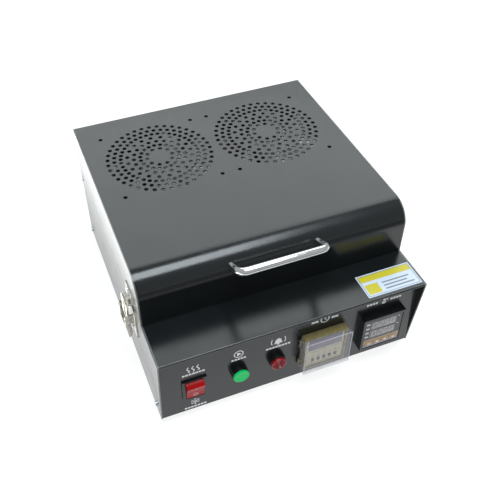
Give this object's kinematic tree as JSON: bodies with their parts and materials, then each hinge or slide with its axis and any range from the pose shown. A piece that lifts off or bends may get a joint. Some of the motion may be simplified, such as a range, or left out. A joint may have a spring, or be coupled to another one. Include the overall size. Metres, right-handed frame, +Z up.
{
  "type": "bench reflow oven",
  "caption": "Box-shaped bench reflow oven with a hot plate under a rear-hinged perforated lid, cooling fans, bar handle, side toggle latch and a set-back control panel.",
  "frame": {"origin": "middle of the overall box, on the floor under the rubber feet", "axes": "+X to the right as seen by someone at the control panel, +Y towards the hinges, +Z up"},
  "size_m": [0.2926, 0.3206, 0.1664],
  "materials": {
    "coat": "gloss black powder coat",
    "zinc_sheet": "satin plated sheet",
    "chamber_sheet": "brushed",
    "ceramic": "pressed fibre",
    "hot_plate": "ground face",
    "heater": "heat-tinted",
    "steel": "satin",
    "chrome": "polished",
    "rubber": "matte",
    "label": "printed film",
    "black_plastic": "satin moulded",
    "matte_black": "textured moulded",
    "relay_white": "moulded",
    "olive_plastic": "moulded",
    "timer_plate": "printed",
    "tab": "moulded",
    "red": "translucent moulded",
    "green": "translucent moulded",
    "clear": "clear moulded",
    "grey_face": "printed film",
    "key": "moulded",
    "seal": "silicone"
  },
  "bodies": {
    "base": {"base_tray": "zinc_sheet", "side_panel_left": "coat", "side_panel_right": "coat", "shelf_cover": "coat", "control_panel": "coat", "rear_panel": "coat", "chamber_pan": "chamber_sheet", "insulation_board": "ceramic", "heating_plate": "hot_plate", "heating_elements": "heater", "plate_standoffs": "steel", "thermocouple": "steel", "solid_state_relay": "relay_white", "terminal_block": "matte_black", "power_inlet": "matte_black", "rubber_feet": "rubber", "case_screws": "steel", "safety_label": "label", "rocker_frame": "black_plastic", "start_button_body": "black_plastic", "buzzer_body": "black_plastic", "buzzer_lens": "red", "collar_nuts": "matte_black", "timer_case": "matte_black", "timer_bezel": "olive_plastic", "timer_face": "timer_plate", "controller_case": "black_plastic", "controller_face": "grey_face", "instrument_clamps": "matte_black", "latch_base": "chrome", "hinge_base_leaves": "steel", "hinge_pins": "steel"},
    "lid": {"lid_skin": "coat", "lid_side_left": "coat", "lid_side_right": "coat", "lid_baffle": "chamber_sheet", "lid_seal": "seal", "lid_handle": "chrome", "lid_screws": "steel", "latch_strike": "chrome", "hinge_lid_leaves": "steel", "fan_frame_left": "matte_black", "fan_frame_right": "matte_black"},
    "rocker": {"rocker_key": "red"},
    "start_button": {"start_button_cap": "green"},
    "timer_cover": {"timer_cover": "clear"},
    "fan_left": {"fan_rotor_left": "matte_black"},
    "fan_right": {"fan_rotor_right": "matte_black"},
    "timer_tab_1": {"timer_tab_1": "tab"},
    "timer_tab_2": {"timer_tab_2": "tab"},
    "timer_tab_3": {"timer_tab_3": "tab"},
    "timer_tab_4": {"timer_tab_4": "tab"},
    "timer_tab_5": {"timer_tab_5": "tab"},
    "controller_key_1": {"controller_key_1": "key"},
    "controller_key_2": {"controller_key_2": "key"},
    "controller_key_3": {"controller_key_3": "key"},
    "controller_key_4": {"controller_key_4": "key"},
    "latch_lever": {"latch_lever": "chrome"},
    "latch_loop": {"latch_loop": "chrome"}
  },
  "joints": [
    {"name": "lid_hinge", "type": "hinge", "parent": "base", "child": "lid", "pos_m": [0.00475, 0.1571, 0.1078], "axis": [-1, 0, 0], "range_deg": [0, 80]},
    {"name": "fan_left_spin", "type": "hinge", "parent": "lid", "child": "fan_left", "pos_m": [-0.0585, 0.0691, 0.1446], "axis": [0, 0, 1], "continuous": true},
    {"name": "fan_right_spin", "type": "hinge", "parent": "lid", "child": "fan_right", "pos_m": [0.066, 0.0691, 0.1446], "axis": [0, 0, 1], "continuous": true},
    {"name": "rocker_tilt", "type": "hinge", "parent": "base", "child": "rocker", "pos_m": [-0.09905, -0.1435, 0.0473], "axis": [-1, 0, 0], "range_deg": [0, 26]},
    {"name": "start_press", "type": "slide", "parent": "base", "child": "start_button", "axis": [0, 1, 0], "range_m": [0, 0.0018], "stiffness_N_per_m": 800, "springref_m": -0.0004},
    {"name": "timer_cover_swing", "type": "hinge", "parent": "base", "child": "timer_cover", "pos_m": [0.01235, -0.1489, 0.0515], "axis": [0, 0, -1], "range_deg": [0, 95]},
    {"name": "timer_tab_1_press", "type": "slide", "parent": "base", "child": "timer_tab_1", "axis": [0, 1, 0], "range_m": [0, 0.0008], "stiffness_N_per_m": 500, "springref_m": -0.0004},
    {"name": "timer_tab_2_press", "type": "slide", "parent": "base", "child": "timer_tab_2", "axis": [0, 1, 0], "range_m": [0, 0.0008], "stiffness_N_per_m": 500, "springref_m": -0.0004},
    {"name": "timer_tab_3_press", "type": "slide", "parent": "base", "child": "timer_tab_3", "axis": [0, 1, 0], "range_m": [0, 0.0008], "stiffness_N_per_m": 500, "springref_m": -0.0004},
    {"name": "timer_tab_4_press", "type": "slide", "parent": "base", "child": "timer_tab_4", "axis": [0, 1, 0], "range_m": [0, 0.0008], "stiffness_N_per_m": 500, "springref_m": -0.0004},
    {"name": "timer_tab_5_press", "type": "slide", "parent": "base", "child": "timer_tab_5", "axis": [0, 1, 0], "range_m": [0, 0.0008], "stiffness_N_per_m": 500, "springref_m": -0.0004},
    {"name": "controller_key_1_press", "type": "slide", "parent": "base", "child": "controller_key_1", "axis": [0, 1, 0], "range_m": [0, 0.0008], "stiffness_N_per_m": 500, "springref_m": -0.0004},
    {"name": "controller_key_2_press", "type": "slide", "parent": "base", "child": "controller_key_2", "axis": [0, 1, 0], "range_m": [0, 0.0008], "stiffness_N_per_m": 500, "springref_m": -0.0004},
    {"name": "controller_key_3_press", "type": "slide", "parent": "base", "child": "controller_key_3", "axis": [0, 1, 0], "range_m": [0, 0.0008], "stiffness_N_per_m": 500, "springref_m": -0.0004},
    {"name": "controller_key_4_press", "type": "slide", "parent": "base", "child": "controller_key_4", "axis": [0, 1, 0], "range_m": [0, 0.0008], "stiffness_N_per_m": 500, "springref_m": -0.0004},
    {"name": "latch_lever_swing", "type": "hinge", "parent": "base", "child": "latch_lever", "pos_m": [-0.14275, -0.0685, 0.096], "axis": [0, 1, 0], "range_deg": [0, 100]},
    {"name": "latch_loop_tilt", "type": "hinge", "parent": "latch_lever", "child": "latch_loop", "pos_m": [-0.14175, -0.0685, 0.088], "axis": [0, 1, 0], "range_deg": [-110, 0]}
  ],
  "couplings": [
    {"joint": "latch_loop_tilt", "follows": "latch_lever_swing", "ratio": -1.1}
  ]
}
